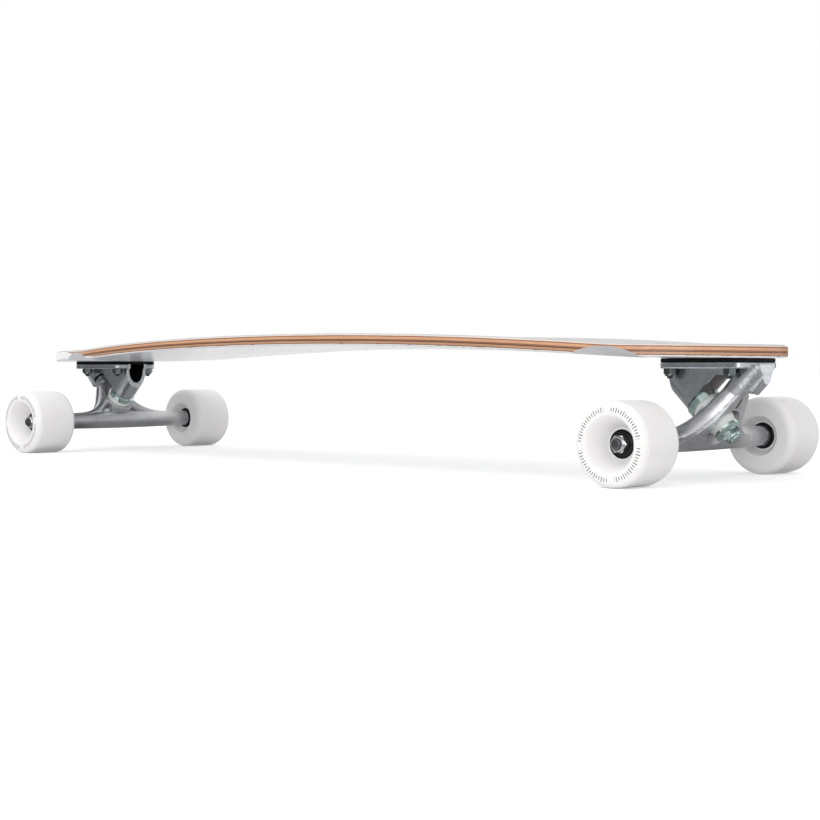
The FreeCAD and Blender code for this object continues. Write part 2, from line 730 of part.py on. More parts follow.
def save_wheel(truck, hand):
    hub = FreeCAD.Placement(Y * hanger_end, FreeCAD.Rotation(X, -90))
    side = turn_about(Z, wheel_sides[hand])
    centre = FreeCAD.Placement(FreeCAD.Vector(axle_stations[truck], 0, wheel_radius), FreeCAD.Rotation())
    place = centre.multiply(side).multiply(hub)
    name = truck + "_" + hand + "_"
    spacer_start = bearing_starts[0] + bearing_width
    fits = {
        "wheel": [tyre()],
        "bearing_outer_rings": both_bearings(bearing_outer_ring),
        "bearing_shields": both_bearings(bearing_shields),
        "bearing_inner_rings": both_bearings(bearing_inner_ring),
        "bearing_balls": both_bearings(bearing_balls),
        "bearing_spacer": [ring(bearing_bore + seat_gap, spacer_radius, spacer_start, bearing_starts[1])],
        "speed_rings": [ring(bearing_bore + seat_gap, speed_ring_radius, low, low + speed_ring_thickness)
                        for low in (0, stack_end)],
        "axle_nut": [lock_nut(axle_nut_flats, axle_radius + seat_gap, nut_start, axle_nut_height)],
    }
    for piece, solids in fits.items():
        save(name + piece, *[moved(solid, place) for solid in solids])


os.makedirs("parts", exist_ok=True)
save("deck", deck())
save("grip_sheet", grip_sheet())
for truck in axle_stations:
    save_truck(truck)
    for hand in wheel_sides:
        save_wheel(truck, hand)
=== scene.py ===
import json
import math

import bmesh
import bpy
from bpy.props import FloatProperty, FloatVectorProperty, IntProperty, PointerProperty
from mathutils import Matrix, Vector


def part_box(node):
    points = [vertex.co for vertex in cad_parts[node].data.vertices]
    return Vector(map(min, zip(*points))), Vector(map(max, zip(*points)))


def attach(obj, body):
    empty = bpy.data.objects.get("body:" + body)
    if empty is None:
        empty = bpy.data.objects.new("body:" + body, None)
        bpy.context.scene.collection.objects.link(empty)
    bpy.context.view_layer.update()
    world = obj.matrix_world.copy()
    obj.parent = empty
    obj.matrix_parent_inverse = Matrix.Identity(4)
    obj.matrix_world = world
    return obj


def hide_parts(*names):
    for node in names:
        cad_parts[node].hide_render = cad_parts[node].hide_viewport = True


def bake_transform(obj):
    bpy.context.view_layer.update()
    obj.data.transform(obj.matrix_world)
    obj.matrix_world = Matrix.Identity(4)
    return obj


bl_info = {
    "name": "Longboard looks",
    "version": (1, 1, 0),
    "blender": (4, 5, 0),
    "location": "3D View > Sidebar > Longboard",
    "description": "Dresses the packed longboard in its finishes and sets up a plain studio stage",
    "category": "Object",
}

# Lengths are in metres. +X points to the nose, +Y to the rider's left and +Z up,
# and the ground is at height 0.
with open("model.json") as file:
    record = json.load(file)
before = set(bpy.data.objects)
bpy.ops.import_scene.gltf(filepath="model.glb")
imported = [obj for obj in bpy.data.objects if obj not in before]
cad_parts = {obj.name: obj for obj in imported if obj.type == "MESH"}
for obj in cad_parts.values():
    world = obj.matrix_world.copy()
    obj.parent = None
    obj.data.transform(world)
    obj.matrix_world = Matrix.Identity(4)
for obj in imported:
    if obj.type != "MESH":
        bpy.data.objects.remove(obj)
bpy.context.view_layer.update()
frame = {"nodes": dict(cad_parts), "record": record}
nodes = frame["nodes"]

TRUCKS = ("front", "rear")
HANDS = ("left", "right")
UP = Vector((0, 0, 1))
WHITE = (1, 1, 1, 1)
DISPLAY_GAMMA = 2.2
SENSOR_WIDTH = 36

# How finely the made pieces are divided, and how exactly heights on CAD nodes are told apart.
TURN_SIDES = 48
BOLT_SIDES = 36
BUSHING_SIDES = 64
THREAD_STEPS = 8
CUP_STEPS = 7
CORNER_STEPS = 8
SHARP_ANGLE = math.radians(38)
SAME_HEIGHT = 1e-4
HEIGHT_DIGITS = 5

# Upward part of the normal below which the deck is painted, and above which it has
# its top sheet's colour.
PAINT_FACING = -0.45
TOP_FACING = 0.75

# The printed ring: its breaks, the share of the way to the next one that a break takes,
# and how often a tick is taller.
PRINT_BREAKS = 4
BREAK_SHARE = 0.12
TALL_EVERY = 3

# Cards that darken reflections: place, width, depth, the point that a standing one faces,
# and the name of its tint.
CARDS = {
    "standing_card": ((-1.05, -1.35, 0.7), 3.2, 1.4, (0, 0, 0.7), "card"),
    "far_card": ((0.42, 0.68, 0.2), 0.5, 0.4, (0.42, 0, 0.2), "card"),
    "lying_card": ((0, 0.2, 0.003), 2.4, 0.46, None, "mat"),
    "front_card": ((-0.1, -0.8, 0.003), 2.8, 1.2, None, "card"),
    "side_card": ((-0.61, -0.115, 0.003), 1.78, 0.17, None, "card"),
    "band_card": ((0.47, -0.115, 0.003), 0.04, 0.17, None, "card"),
}


def shade(red, green, blue):
    """Scene-linear colour from the 0 to 255 values that a paint chart gives."""
    return tuple((value / 255) ** DISPLAY_GAMMA for value in (red, green, blue))


def scaled(tint, gain):
    """A darker or brighter colour."""
    return tuple(min(1, gain * value) for value in tint)


def colour(name, description, default):
    """A colour that a user may change."""
    return FloatVectorProperty(name=name, description=description, subtype="COLOR", size=3, min=0, max=1,
                               default=default)


def amount(name, description, default, **settings):
    """A number that a user may change."""
    return FloatProperty(name=name, description=description, default=default, **settings)


def length(name, description, default):
    """A length that a user may change."""
    return amount(name, description, default, unit="LENGTH", subtype="DISTANCE", precision=5)


class LongboardDeckLooks(bpy.types.PropertyGroup):
    """Finishes of the board, and the bend that its plies follow."""

    paint: colour("Paint", "Lacquer on the underside and in the wheel wells", shade(236, 237, 239))
    face: colour("Face veneer", "Outermost ply at the deck's top", shade(228, 202, 187))
    warm_ply: colour("Warm ply", "Upper ply whose grain runs along the board", shade(218, 164, 127))
    pale_ply: colour("Pale ply", "Lower ply whose grain runs along the board", shade(190, 147, 116))
    cross_ply: colour("Cross ply", "Darker plies whose grain runs across the board", shade(146, 102, 76))
    glue: colour("Glue line", "Dark glue lines, fibres and pores", shade(98, 58, 36))
    rim: colour("Rim", "Lacquer that has run over the lower rim", shade(200, 190, 184))
    grit: colour("Grit sheet", "Clear grit over the pale top sheet", shade(214, 213, 212))
    base: length("Underside", "Height of the underside at the trucks", 0.0965)
    thickness: length("Thickness", "Thickness of the pressed plies", 0.0095)
    rise: length("Camber", "Rise of the middle over the trucks", 0.0103)
    half_span: length("Camber half span", "Half the length that is bent upwards", 0.345)
    centre: length("Camber centre", "Place of the crown along the board", 0.029)
    ease: length("Ease radius", "Radius between the level ends and the camber", 0.4)
    hollow: length("Concave", "Rise of the long edges over the middle", 0.0025)
    half_width: length("Half width", "Half the deck's greatest width", 0.115)
    tail_paint: length("Tail paint", "Place along the board where paint starts to climb the rim", -0.262)
    tail_sweep: length("Tail sweep", "Length over which the paint climbs to the top of the rim", 0.1)


class LongboardWheelLooks(bpy.types.PropertyGroup):
    """Finishes of the wheels and bearings."""

    urethane: colour("Urethane", "Poured wheel", shade(243, 241, 241))
    ink: colour("Ink", "Printed ring of ticks on the outer face", shade(36, 36, 38))
    shield: colour("Shield", "Rubber shields of the bearings", shade(20, 20, 22))
    blackened: colour("Blackened steel", "Outer bearing rings", shade(46, 46, 48))
    race: colour("Race", "Inner bearing rings and balls", shade(150, 151, 154))
    print_radius: length("Print radius", "Middle of the printed ring", 0.0262)
    print_width: length("Print width", "Height of the tallest printed ticks", 0.004)
    print_margin: length("Print margin", "Reach of the print inwards from the outermost face", 0.0012)
    tick_width: length("Tick width", "Thickness of a printed tick", 0.0006)
    ticks: IntProperty(name="Ticks", description="Ticks round the printed ring", default=72)


class LongboardTruckLooks(bpy.types.PropertyGroup):
    """Finishes of the trucks and their hardware, and the sizes of their small details."""

    hanger: colour("Hanger", "Tumbled cast hanger", shade(206, 206, 209))
    baseplate: colour("Baseplate", "Tumbled cast baseplate", shade(186, 189, 193))
    zinc: colour("Zinc", "Plated kingpins, their nuts and washers", shade(196, 214, 209))
    bright_steel: colour("Bright steel", "Axle nuts", shade(196, 196, 198))
    dark_steel: colour("Dark steel", "Bolts, axles, spacers and speed rings", shade(58, 59, 62))
    black_steel: colour("Black steel", "Nuts of the deck bolts", shade(104, 112, 111))
    # Painted light: a lighter, duller colour laid into the hollow of a baseplate's leg, which otherwise
    # renders dark in its own shade.
    hollow_painted_light: colour("Raw casting", "Untumbled metal in the hollow of a baseplate's leg", shade(176, 168, 167))
    bushing: colour("Bushing", "Poured bushings", shade(226, 224, 228))
    rubber: colour("Rubber", "Riser pads and pivot cups", shade(16, 16, 17))
    nylon: colour("Nylon", "Locking rings of the nuts", shade(70, 72, 75))
    hollow: length("Leg hollow", "Half the width of the hollow in a leg", 0.01006)
    hollow_start: length("Hollow start", "Distance of a leg's hollow from its kingpin", 0.0098)
    hollow_low: length("Hollow floor", "Lowest place of the hollow along the kingpin", 0.0174)
    hollow_high: length("Hollow top", "Highest place of the hollow along the kingpin", 0.0287)
    bolt_head: length("Bolt head", "Radius of a deck bolt's head", 0.0048)
    bolt_shank: length("Bolt shank", "Radius of a deck bolt's shank", 0.0024)
    bolt_thread: length("Bolt thread", "Length of a deck bolt's thread", 0.01)
    socket: length("Socket", "Distance from a bolt's middle to a flat of its socket", 0.0016)
    socket_depth: length("Socket depth", "Depth of a bolt's socket", 0.0022)
    pitch: length("Thread pitch", "Rise of a thread in one turn", 0.00085)
    thread_depth: length("Thread depth", "Height of a thread's ridge", 0.0003)
    corner: length("Pad corner", "Radius of a riser pad's corners", 0.009)
    edge: length("Soft edge", "Rounding of the edges of rubber and urethane", 0.0006)


class LongboardStageLooks(bpy.types.PropertyGroup):
    """Camera and light."""

    camera: FloatVectorProperty(name="Camera", description="Place of the camera", subtype="TRANSLATION",
                                unit="LENGTH", size=3, default=(1.06564, -1.09666, 0.08765))
    azimuth: amount("Azimuth", "Turn of the view from straight along +Y", math.radians(42.11),
                    subtype="ANGLE")
    pitch: amount("Pitch", "Tilt of the view from level", math.radians(-1.45), subtype="ANGLE")
    focal_length: amount("Focal length", "Lens for a 36 mm square frame, in millimetres", 70.04)
    floor: colour("Floor", "Pale floor", (0.86, 0.86, 0.86))
    card: colour("Dark cards", "Cards in the dark parts of reflections", (0.25, 0.265, 0.27))
    mat: colour("Lying card", "Grey card on the floor behind the board", (0.56, 0.56, 0.565))
    key_power: amount("Key light", "Power of the large lamp overhead", 11, unit="POWER")
    fill_power: amount("Fill light", "Power of the lamp by the camera", 13, unit="POWER")
    sky: amount("Sky", "Strength of the even light from all round", 0.76)
    glow: amount("Floor glow", "Lift of the floor where it is seen as background", 0.4)


LOOKS = {
    "longboard_deck": LongboardDeckLooks,
    "longboard_wheels": LongboardWheelLooks,
    "longboard_trucks": LongboardTruckLooks,
    "longboard_stage": LongboardStageLooks,
}


def add(tree, kind, inputs=None, **settings):
    """A node of a kind, with its settings, and with its inputs set or linked by name or number."""
    made = tree.nodes.new(kind)
    for key, value in settings.items():
        setattr(made, key, value)
    for key, value in (inputs or {}).items():
        if isinstance(value, bpy.types.NodeSocket):
            tree.links.new(value, made.inputs[key])
        else:
            made.inputs[key].default_value = value
    return made


def sum_up(tree, operation, *values, clamp=False):
    """The result of a Math node."""
    inputs = dict(enumerate(values))
    return add(tree, "ShaderNodeMath", inputs, operation=operation, use_clamp=clamp).outputs[0]


def squared(tree, value):
    """A value times itself."""
    return sum_up(tree, "MULTIPLY", value, value)


def all_of(tree, first, *others):
    """1 where every one of some masks is 1."""
    for mask in others:
        first = sum_up(tree, "MULTIPLY", first, mask)
    return first


def blend(tree, factor, first, second):
    """A mix of two colours."""
    mixed = add(tree, "ShaderNodeMix", {"Factor": factor}, data_type="RGBA")
    for socket, value in zip(("A", "B"), (first, second)):
        target = next(s for s in mixed.inputs if s.name == socket and s.type == "RGBA")
        if isinstance(value, bpy.types.NodeSocket):
            tree.links.new(value, target)
        else:
            target.default_value = (*value, 1)
    return next(s for s in mixed.outputs if s.type == "RGBA")


def bands(tree, factor, stops):
    """Bands of colour with sharp ends, from (start, colour) stops."""
    made = add(tree, "ShaderNodeValToRGB", {"Fac": factor})
    made.color_ramp.interpolation = "CONSTANT"
    stretch = made.color_ramp.elements
    while len(stretch) < len(stops):
        stretch.new(1)
    for element, (start, tint) in zip(stretch, stops):
        element.position = start
        element.color = (*tint, 1)
    return made.outputs["Color"]


def where(tree):
    """The place on the object at rest, in metres."""
    return add(tree, "ShaderNodeTexCoord").outputs["Object"]


def place_from(tree, point):
    """The place on the object at rest, measured from a point."""
    return add(tree, "ShaderNodeVectorMath", {0: where(tree), 1: point}, operation="SUBTRACT").outputs[0]


def split(tree, vector):
    """The three parts of a vector."""
    return add(tree, "ShaderNodeSeparateXYZ", {0: vector}).outputs


def noise(tree, scale, detail=4, stretch=(1, 1, 1)):
    """Noise over the object, stretched along an axis where asked."""
    mapped = add(tree, "ShaderNodeMapping", {"Vector": where(tree), "Scale": stretch})
    inputs = {"Vector": mapped.outputs[0], "Scale": scale, "Detail": detail}
    return add(tree, "ShaderNodeTexNoise", inputs).outputs["Fac"]


def group(name, inputs, outputs):
    """An empty shader group with its named sockets, and its input and output nodes."""
    tree = bpy.data.node_groups.new(name, "ShaderNodeTree")
    for socket, kind, default in inputs:
        made = tree.interface.new_socket(socket, in_out="INPUT", socket_type=kind)
        made.default_value = default
    for socket, kind in outputs:
        tree.interface.new_socket(socket, in_out="OUTPUT", socket_type=kind)
    return tree, tree.nodes.new("NodeGroupInput"), tree.nodes.new("NodeGroupOutput")


def place(tree, name, inputs):
    """What a shader group puts out in a material, with the material's own values."""
    return add(tree, "ShaderNodeGroup", inputs, node_tree=bpy.data.node_groups[name]).outputs


def grain_group():
    """Mottled colour, varying roughness and a fine raised grain."""
    tree, given, result = group(
        "surface_grain",
        [("Colour", "NodeSocketColor", (0.5, 0.5, 0.5, 1)), ("Mottle", "NodeSocketFloat", 0.2),
         ("Roughness", "NodeSocketFloat", 0.4), ("Spread", "NodeSocketFloat", 0.1),
         ("Patch Scale", "NodeSocketFloat", 60), ("Grain Scale", "NodeSocketFloat", 1500)],
        [("Colour", "NodeSocketColor"), ("Roughness", "NodeSocketFloat"), ("Height", "NodeSocketFloat")])
    at = where(tree)
    patch_inputs = {"Vector": at, "Scale": given.outputs["Patch Scale"], "Detail": 6}
    grain_inputs = {"Vector": at, "Scale": given.outputs["Grain Scale"], "Detail": 3}
    patch = add(tree, "ShaderNodeTexNoise", patch_inputs).outputs[0]
    grain = add(tree, "ShaderNodeTexNoise", grain_inputs).outputs[0]
    lean = sum_up(tree, "SUBTRACT", patch, 0.5)
    bright = sum_up(tree, "MULTIPLY_ADD", lean, given.outputs["Mottle"], 1)
    tinted = add(tree, "ShaderNodeVectorMath", {0: given.outputs["Colour"], "Scale": bright},
                 operation="SCALE")
    rough = sum_up(tree, "MULTIPLY_ADD", sum_up(tree, "SUBTRACT", grain, 0.5), given.outputs["Spread"],
                   given.outputs["Roughness"])
    rough = sum_up(tree, "MULTIPLY_ADD", lean, given.outputs["Spread"], rough, clamp=True)
    tree.links.new(tinted.outputs[0], result.inputs["Colour"])
    tree.links.new(rough, result.inputs["Roughness"])
    tree.links.new(grain, result.inputs["Height"])


def wear_group():
    """Mask of sharp outer edges that rubbing has brightened, broken up by noise."""
    tree, given, result = group(
        "edge_wear", [("Start", "NodeSocketFloat", 0.53), ("Breakup", "NodeSocketFloat", 0.04)],
        [("Mask", "NodeSocketFloat")])
    contrast = 12
    sharp = add(tree, "ShaderNodeNewGeometry").outputs["Pointiness"]
    rough = sum_up(tree, "SUBTRACT", noise(tree, scale=260), 0.5)
    start = sum_up(tree, "MULTIPLY_ADD", rough, given.outputs["Breakup"], given.outputs["Start"])
    over = sum_up(tree, "SUBTRACT", sharp, start)
    tree.links.new(sum_up(tree, "MULTIPLY", over, contrast, clamp=True), result.inputs["Mask"])


def grained(tree, tint, **values):
    """What the grain group puts out for a colour, with its other inputs by name."""
    inputs = {key.replace("_", " ").title(): value for key, value in values.items()}
    return place(tree, "surface_grain", {"Colour": (*tint, 1), **inputs})


def material(name, **constants):
    """A material whose Principled shader has its constant values on its own sockets."""
    made = bpy.data.materials.new(name)
    made.use_nodes = True
    shader = made.node_tree.nodes["Principled BSDF"]
    for key, value in constants.items():
        socket = key.replace("_", " ").title().replace("Ior", "IOR")
        shader.inputs[socket].default_value = value
    return made, made.node_tree, shader


def surface(tree, shader, tint, roughness):
    """Gives a shader its varying colour and roughness."""
    tree.links.new(tint, shader.inputs["Base Color"])
    tree.links.new(roughness, shader.inputs["Roughness"])


def bump(tree, shader, height, distance, strength=1.0):
    """Raises the surface by a height."""
    raised = add(tree, "ShaderNodeBump", {"Height": height, "Distance": distance, "Strength": strength})
    tree.links.new(raised.outputs[0], shader.inputs["Normal"])


def dress(names, made):
    """Gives CAD nodes a material."""
    for name in names:
        nodes[name].data.materials.clear()
        nodes[name].data.materials.append(made)


def steering(truck):
    """The middle of a truck's kingpin ring, the way up its kingpin and the way of its pivot."""
    joint = next(j for j in frame["record"]["behaviour"]["joints"] if j["name"] == truck + "_steer")
    pivot = Vector(joint["axis"]).normalized()
    kingpin = Vector((0, 1, 0)).cross(pivot)
    if kingpin.z < 0:
        kingpin.negate()
    return Vector(joint["pos_m"]), kingpin, pivot


def spread(node, centre, axis):
    """The height along an axis and the distance from it of each point of a CAD node."""
    spots = []
    for vertex in nodes[node].data.vertices:
        offset = vertex.co - centre
        height = offset.dot(axis)
        spots.append((height, (offset - axis * height).length))
    return spots


def reach(node, centre, axis):
    """How far a CAD node goes along and from an axis: its low and high ends, its hole and its outside."""
    spots = spread(node, centre, axis)
    low = min(height for height, distance in spots)
    high = max(height for height, distance in spots)
    hole = min(distance for height, distance in spots if height < low + SAME_HEIGHT)
    return low, high, hole, max(distance for height, distance in spots)


def outline(node, centre, axis):
    """The outside of a turned CAD node: its greatest distance from an axis at each height with points."""
    widest = {}
    for height, distance in spread(node, centre, axis):
        level = round(height, HEIGHT_DIGITS)
        widest[level] = max(widest.get(level, 0), distance)
    return [(widest[level], level) for level in sorted(widest)]


def soften(profile, edge, most=0.45):
    """A closed profile with its corners rounded over an edge, or over the most of a short side."""
    rounded = []
    for before, corner, after in zip(profile[-1:] + profile, profile, profile[1:] + profile[:1]):
        corner = Vector(corner)
        start, end = (corner + side * min(most, edge / side.length)
                      for side in (Vector(before) - corner, Vector(after) - corner))
        rounded += [tuple(start), tuple((start + 2 * corner + end) / 4), tuple(end)]
    return rounded


def ridge(radius, depth, turns):
    """The radius round one height of a thread, which rises and falls once a turn."""
    return lambda angle: radius + depth * (1 - abs(2 * ((turns - angle / math.tau) % 1) - 1))


def thread(radius, depth, pitch, start, end):
    """Profile of a thread between two heights."""
    count = max(2, round(THREAD_STEPS * abs(end - start) / pitch))
    heights = [start + (end - start) * step / count for step in range(count + 1)]
    return [(ridge(radius, depth, height / pitch), height) for height in heights]


def turned(centre, axis, profile, sides=TURN_SIDES):
    """Rings of points about an axis, from a profile of distances from it and heights along it."""
    turn = UP.rotation_difference(axis)
    rings = []
    for radius, height in profile:
        ring = []
        for side in range(sides):
            angle = math.tau * side / sides
            here = radius(angle) if callable(radius) else radius
            ring.append(centre + turn @ Vector((here * math.cos(angle), here * math.sin(angle), height)))
        rings.append(ring)
    return rings


def skin(name, shells, finish, looped=False):
    """A piece with a smooth surface over shells, which are rows of rings, capped or closed in a loop."""
    points = []
    faces = []
    for rings in shells:
        start = len(points)
        rows = len(rings)
        count = len(rings[0])
        points += [point for ring in rings for point in ring]
        for row in range(rows if looped else rows - 1):
            here = start + row * count
            further = start + (row + 1) % rows * count
            for side in range(count):
                after = (side + 1) % count
                faces.append((here + side, here + after, further + after, further + side))
        if not looped:
            faces.append(tuple(range(start, start + count)))
            faces.append(tuple(range(start + (rows - 1) * count, start + rows * count)))
    mesh = bpy.data.meshes.new(name)
    mesh.from_pydata(points, [], faces)
    work = bmesh.new()
    work.from_mesh(mesh)
    bmesh.ops.recalc_face_normals(work, faces=work.faces)
    work.to_mesh(mesh)
    work.free()
    mesh.shade_smooth()
    mesh.set_sharp_from_angle(angle=SHARP_ANGLE)
    mesh.materials.append(bpy.data.materials[finish])
    made = bpy.data.objects.new(name, mesh)
    bpy.context.scene.collection.objects.link(made)
    return made


def board_depth(tree, looks):
    """Depth in the plies: 0 at the underside and 1 at the top, along the camber and across the concave."""
    x, y, z = split(tree, where(tree))
    crown_radius = looks.half_span ** 2 / (2 * looks.rise) - looks.ease
    reached = sum_up(tree, "ABSOLUTE", sum_up(tree, "SUBTRACT", x, looks.centre))
    crown = sum_up(tree, "MULTIPLY_ADD", squared(tree, reached), -0.5 / crown_radius, looks.rise)
    past = sum_up(tree, "MAXIMUM", sum_up(tree, "SUBTRACT", looks.half_span, reached), 0)
    ease = sum_up(tree, "MULTIPLY", squared(tree, past), 0.5 / looks.ease)
    meeting = looks.half_span * crown_radius / (crown_radius + looks.ease)
    inside = sum_up(tree, "LESS_THAN", reached, meeting)
    lift = sum_up(tree, "MULTIPLY_ADD", inside, sum_up(tree, "SUBTRACT", crown, ease), ease)
    across = sum_up(tree, "MULTIPLY", squared(tree, y), looks.hollow / looks.half_width ** 2)
    base = sum_up(tree, "ADD", sum_up(tree, "ADD", lift, across), looks.base)
    return sum_up(tree, "DIVIDE", sum_up(tree, "SUBTRACT", z, base), looks.thickness)


def cut_plies(tree, looks, depth, fibre):
    """Colour of the plies at a depth, with streaks along the fibre and dark pores."""
    plies = bands(tree, depth, [
        (0, looks.rim), (0.1, looks.cross_ply), (0.2, looks.pale_ply), (0.38, looks.glue),
        (0.45, looks.cross_ply), (0.58, looks.warm_ply), (0.79, looks.cross_ply), (0.89, looks.face)])
    streaks = sum_up(tree, "MULTIPLY", sum_up(tree, "SUBTRACT", fibre, 0.42), 1.5, clamp=True)
    streaked = blend(tree, sum_up(tree, "MULTIPLY", streaks, 0.4), plies, looks.glue)
    pores = sum_up(tree, "GREATER_THAN", noise(tree, scale=2600, detail=2), 0.66)
    return blend(tree, sum_up(tree, "MULTIPLY", pores, 0.25), streaked, looks.glue)


def covered(tree, looks, depth):
    """Masks of the deck's painted surfaces and of its top. The paint climbs the rim towards the tail."""
    facing = split(tree, add(tree, "ShaderNodeNewGeometry").outputs["True Normal"])["Z"]
    topped = sum_up(tree, "GREATER_THAN", facing, TOP_FACING)
    along = split(tree, where(tree))["X"]
    climb = sum_up(tree, "DIVIDE", sum_up(tree, "SUBTRACT", looks.tail_paint, along), looks.tail_sweep)
    tail = sum_up(tree, "SUBTRACT", sum_up(tree, "LESS_THAN", depth, climb), topped)
    painted = sum_up(tree, "MAXIMUM", sum_up(tree, "LESS_THAN", facing, PAINT_FACING), tail)
    return painted, topped


class LONGBOARD_OT_deck(bpy.types.Operator):
    """Gives the deck its ply edge, painted underside and pale top"""

    bl_idname = "longboard.deck"
    bl_label = "Deck"

    def execute(self, context):
        looks = context.scene.longboard_deck
        made, tree, shader = material("pressed_maple", coat_weight=0.3, coat_roughness=0.15)
        wander = sum_up(tree, "SUBTRACT", noise(tree, scale=90, detail=3, stretch=(0.25, 1, 1)), 0.5)
        depth = sum_up(tree, "MULTIPLY_ADD", wander, 0.03, board_depth(tree, looks))
        fibre = noise(tree, scale=420, detail=5, stretch=(0.06, 1, 1))
        wood = cut_plies(tree, looks, depth, fibre)
        painted, topped = covered(tree, looks, depth)
        cloud = sum_up(tree, "MULTIPLY", noise(tree, scale=14), 0.12)
        paint = blend(tree, cloud, looks.paint, scaled(looks.paint, 0.8))
        sheet = blend(tree, cloud, looks.grit, scaled(looks.grit, 0.85))
        skinned = blend(tree, painted, blend(tree, topped, wood, sheet), paint)
        bare = sum_up(tree, "SUBTRACT", 1, painted)
        open_grain = sum_up(tree, "MULTIPLY_ADD", fibre, 0.2, 0.2)
        gloss = sum_up(tree, "MULTIPLY_ADD", cloud, 0.4, 0.2)
        surface(tree, shader, skinned, sum_up(tree, "MULTIPLY_ADD", open_grain, bare, gloss))
        ripple = sum_up(tree, "MULTIPLY", noise(tree, scale=60, detail=2), 0.1)
        raised = sum_up(tree, "MULTIPLY_ADD", fibre, bare, ripple)
        bump(tree, shader, raised, distance=0.0002, strength=0.5)
        dress(["deck"], made)
        return {"FINISHED"}


class LONGBOARD_OT_grip(bpy.types.Operator):
    """Gives the top sheet its clear grit"""

    bl_idname = "longboard.grip"
    bl_label = "Grit sheet"

    def execute(self, context):
        looks = context.scene.longboard_deck
        made, tree, shader = material("clear_grit", specular_ior_level=0.4)
        grit = grained(tree, looks.grit, mottle=0.12, roughness=0.78, spread=0.3, patch_scale=35,
                       grain_scale=1900)
        specks = sum_up(tree, "GREATER_THAN", noise(tree, scale=3200, detail=1), 0.68)
        faint = sum_up(tree, "MULTIPLY", specks, 0.35)
        speckled = blend(tree, faint, grit["Colour"], scaled(looks.grit, 0.45))
        surface(tree, shader, speckled, grit["Roughness"])
        bump(tree, shader, grit["Height"], distance=0.0005)
        dress(["grip_sheet"], made)
        return {"FINISHED"}


def leg_hollow(tree, truck, looks):
    """Mask of the hollow in a baseplate's leg, where light is painted in, from its reach along the pivot
    and the kingpin.
    """
    centre, kingpin, pivot = steering(truck)
    local = place_from(tree, centre)
    along, up = (
        add(tree, "ShaderNodeVectorMath", {0: local, 1: axis}, operation="DOT_PRODUCT").outputs["Value"]
        for axis in (pivot, kingpin))
    across = sum_up(tree, "ABSOLUTE", split(tree, local)["Y"])
    return all_of(tree,
                  sum_up(tree, "GREATER_THAN", up, looks.hollow_low),
                  sum_up(tree, "LESS_THAN", up, looks.hollow_high),
                  sum_up(tree, "LESS_THAN", across, looks.hollow),
                  sum_up(tree, "GREATER_THAN", along, looks.hollow_start))


def cast_metal(name, tint, roughness, edge):
    """Tumbled cast aluminium with dents and brighter edges, and its nodes, shader, colour and roughness."""
    made, tree, shader = material(name, metallic=1.0)
    cast = grained(tree, tint, mottle=0.4, roughness=roughness, spread=0.2, patch_scale=75,
                   grain_scale=1300)
    worn = place(tree, "edge_wear", {"Start": 0.53})["Mask"]
    metal = blend(tree, worn, cast["Colour"], scaled(tint, edge))
    smooth = sum_up(tree, "MULTIPLY_ADD", worn, -0.12, cast["Roughness"])
    surface(tree, shader, metal, smooth)
    broad, fine = (noise(tree, scale=scale, detail=2) for scale in (180, 620))
    dents = sum_up(tree, "MULTIPLY_ADD", broad, 2.5, fine)
    bump(tree, shader, sum_up(tree, "ADD", dents, cast["Height"]), distance=0.00025, strength=0.55)
    return made, tree, shader, metal, smooth


class LONGBOARD_OT_castings(bpy.types.Operator):
    """Gives hangers and baseplates their tumbled cast metal, with painted light in the hollows of the legs
    """

    bl_idname = "longboard.castings"
    bl_label = "Castings"

    def execute(self, context):
        looks = context.scene.longboard_trucks
        hanger = cast_metal("cast_hanger", looks.hanger, roughness=0.34, edge=1.25)[0]
        for truck in TRUCKS:
            dress([truck + "_hanger"], hanger)
            base, tree, shader, metal, smooth = cast_metal(
                truck + "_cast_baseplate", looks.baseplate, roughness=0.24, edge=1.4)
            # Painted light: the leg's hollow gets a lighter colour, more roughness and less metal, so that
            # it reads lit instead of shaded.
            hollow_painted_light = leg_hollow(tree, truck, looks)
            surface(tree, shader, blend(tree, hollow_painted_light, metal, looks.hollow_painted_light),
                    sum_up(tree, "MULTIPLY_ADD", hollow_painted_light, 0.4, smooth, clamp=True))
            tree.links.new(sum_up(tree, "MULTIPLY_ADD", hollow_painted_light, -0.8, 1), shader.inputs["Metallic"])
            dress([truck + "_baseplate"], base)
        return {"FINISHED"}


def plated(name, tint, roughness):
    """Plated steel with soft blotches and brighter edges."""
    made, tree, shader = material(name, metallic=1.0)
    metal = grained(tree, tint, mottle=0.3, roughness=roughness, spread=0.16, patch_scale=140,
                    grain_scale=2600)
    worn = place(tree, "edge_wear", {"Start": 0.55})["Mask"]
    surface(tree, shader, blend(tree, worn, metal["Colour"], scaled(tint, 1.4)), metal["Roughness"])
    bump(tree, shader, metal["Height"], distance=0.00008, strength=0.5)
    return made


def moulded(name, tint, roughness, mottle=0.5, **constants):
    """Moulded rubber, nylon or urethane with a fine skin."""
    made, tree, shader = material(name, **constants)
    form = grained(tree, tint, mottle=mottle, roughness=roughness, spread=0.2, patch_scale=70,
                   grain_scale=1700)
    surface(tree, shader, form["Colour"], form["Roughness"])
    bump(tree, shader, form["Height"], distance=0.00015, strength=0.5)
    return made


